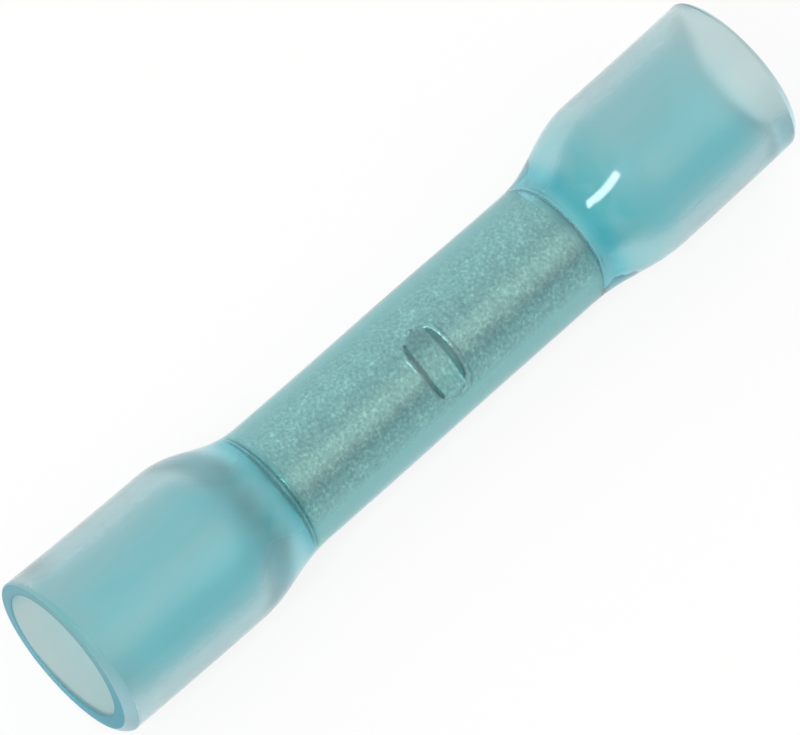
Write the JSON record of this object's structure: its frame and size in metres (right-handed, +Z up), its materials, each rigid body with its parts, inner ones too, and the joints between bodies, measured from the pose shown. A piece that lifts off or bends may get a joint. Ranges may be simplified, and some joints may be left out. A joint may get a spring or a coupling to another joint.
{
  "type": "butt splice connector",
  "caption": "Adhesive-lined heat-shrink butt splice: a translucent blue sleeve with open flared ends, shrunk in the middle onto a tinned crimp barrel with a pressed wire stop.",
  "frame": {"origin": "under the middle of the splice, on the surface it lies on", "axes": "+X along the barrel, +Z up with the barrel in the sleeve's lowest place, +Y across"},
  "size_m": [0.034, 0.0068, 0.0071],
  "materials": {
    "blue_jacket": "translucent sky-blue shrink plastic with a soft gloss",
    "hot_melt_liner": "clear hot-melt lining seen through the jacket, slightly milky",
    "tinned_copper": "satin tin plate over copper with a fine grain"
  },
  "bodies": {
    "root": {"heat_shrink_sleeve": "blue_jacket", "adhesive_liner": "hot_melt_liner", "crimp_barrel": "tinned_copper"}
  },
  "joints": []
}
